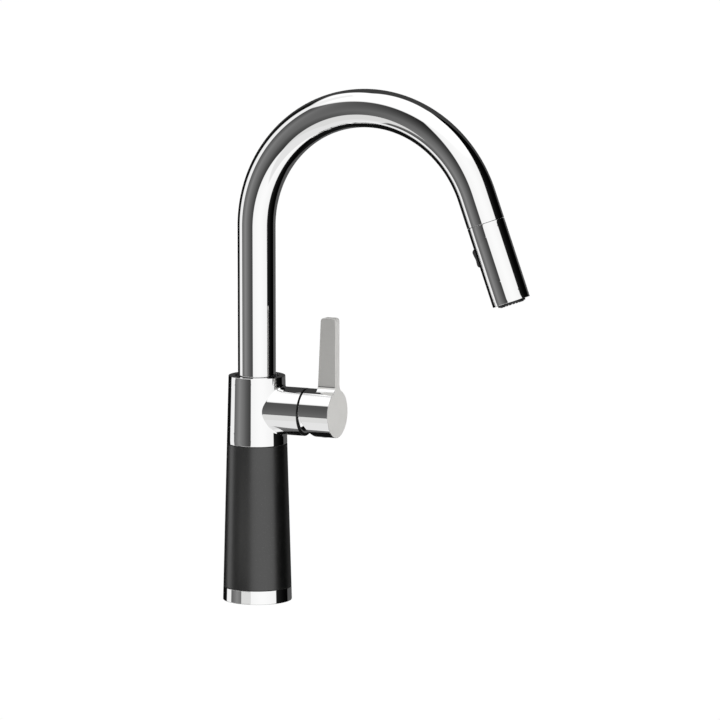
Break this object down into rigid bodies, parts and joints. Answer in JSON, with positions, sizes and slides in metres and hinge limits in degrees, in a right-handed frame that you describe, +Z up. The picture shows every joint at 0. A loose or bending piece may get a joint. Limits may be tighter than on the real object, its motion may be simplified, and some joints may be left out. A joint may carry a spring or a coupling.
{
  "type": "pull down kitchen faucet",
  "caption": "Tall single-lever kitchen faucet: tapered black-sleeved column, high arched swivel spout, pull down spray head on a hose, side lever mixer.",
  "frame": {"origin": "centre of the column's foot on the worktop's face, over the centre of the tap hole", "axes": "+Z up along the column, +X towards the spout's outlet and the lever, +Y to the left of someone looking along +X"},
  "size_m": [0.2599, 0.0546, 0.4967],
  "materials": {
    "chrome": "polished chrome plate on brass",
    "lever_chrome": "polished chrome plate on zinc",
    "black_composite": "matte mineral-filled composite",
    "rubber": "matte moulded rubber",
    "brass": "machined",
    "steel": "zinc plated and stainless steel, machined",
    "copper_pipe": "drawn copper",
    "white_plastic": "moulded acetal",
    "black_plastic": "moulded acetal",
    "toggle_plastic": "fine ribbed moulding",
    "ceramic_disc": "lapped alumina",
    "braided_hose": "braided nylon over a plastic hose",
    "index_plastic": "moulded, plain grey"
  },
  "bodies": {
    "mixer": {"base_ring": "chrome", "base_gasket": "rubber", "foot_plate": "brass", "mounting_studs": "steel", "column_tube": "steel", "composite_sleeve": "black_composite", "sleeve_washers": "black_plastic", "outlet_pipe": "copper_pipe", "hot_pipe": "copper_pipe", "cold_pipe": "copper_pipe", "pipe_seals": "rubber", "mixer_body": "chrome", "spout_thrust_ring": "white_plastic", "spout_slide_ring": "white_plastic", "spout_set_screw": "steel", "cartridge_seal": "rubber", "cartridge_base": "white_plastic", "fixed_disc": "ceramic_disc", "cartridge_housing": "white_plastic", "cartridge_nut": "brass", "dome_cover": "chrome"},
    "clamp": {"clamp_gasket": "rubber", "clamp_plate": "steel", "clamp_nuts": "steel"},
    "spout": {"spout_foot": "brass", "spout_tube": "chrome", "docking_collar": "white_plastic", "pull_hose": "braided_hose", "hose_coupling": "brass", "coupling_seals": "rubber"},
    "spray_head": {"docking_spigot": "brass", "hose_nut": "brass", "check_valve": "white_plastic", "filter_washer": "steel", "spray_core": "black_plastic", "spray_shell": "chrome", "toggle_pin": "steel", "spray_face": "black_plastic", "spray_nozzles": "rubber", "aerator": "black_plastic"},
    "toggle": {"toggle_button": "toggle_plastic"},
    "cartridge_spindle": {"spindle": "white_plastic", "pivot_pin": "steel"},
    "mixing_disc": {"moving_disc": "ceramic_disc", "disc_carrier": "white_plastic"},
    "lever": {"lever_handle": "lever_chrome", "cartridge_stem": "steel", "handle_screw": "steel", "index_plug": "index_plastic"}
  },
  "joints": [
    {"name": "clamp_slide", "type": "slide", "parent": "mixer", "child": "clamp", "axis": [0, 0, 1], "range_m": [-0.004, 0.035]},
    {"name": "spout_swivel", "type": "hinge", "parent": "mixer", "child": "spout", "pos_m": [0, 0, 0.16], "axis": [0, 0, 1], "range_deg": [-75, 75]},
    {"name": "spray_pull", "type": "slide", "parent": "spout", "child": "spray_head", "axis": [0.342, 0, -0.9397], "range_m": [0, 0.2], "deforming": ["pull_hose"]},
    {"name": "toggle_rock", "type": "hinge", "parent": "spray_head", "child": "toggle", "pos_m": [0.19555, 0, 0.28503], "axis": [0, 1, 0], "range_deg": [-3.5, 3.5]},
    {"name": "temperature_turn", "type": "hinge", "parent": "mixer", "child": "cartridge_spindle", "pos_m": [0.036, 0, 0.153], "axis": [1, 0, 0], "range_deg": [-45, 45]},
    {"name": "flow_tilt", "type": "hinge", "parent": "cartridge_spindle", "child": "lever", "pos_m": [0.036, 0, 0.153], "axis": [0, 1, 0], "range_deg": [0, 24]},
    {"name": "disc_shift", "type": "slide", "parent": "cartridge_spindle", "child": "mixing_disc", "axis": [0, 0, 1], "range_m": [0, 0.00205]}
  ],
  "couplings": [
    {"joint": "disc_shift", "follows": "flow_tilt", "m_per_rad": 0.0047}
  ]
}
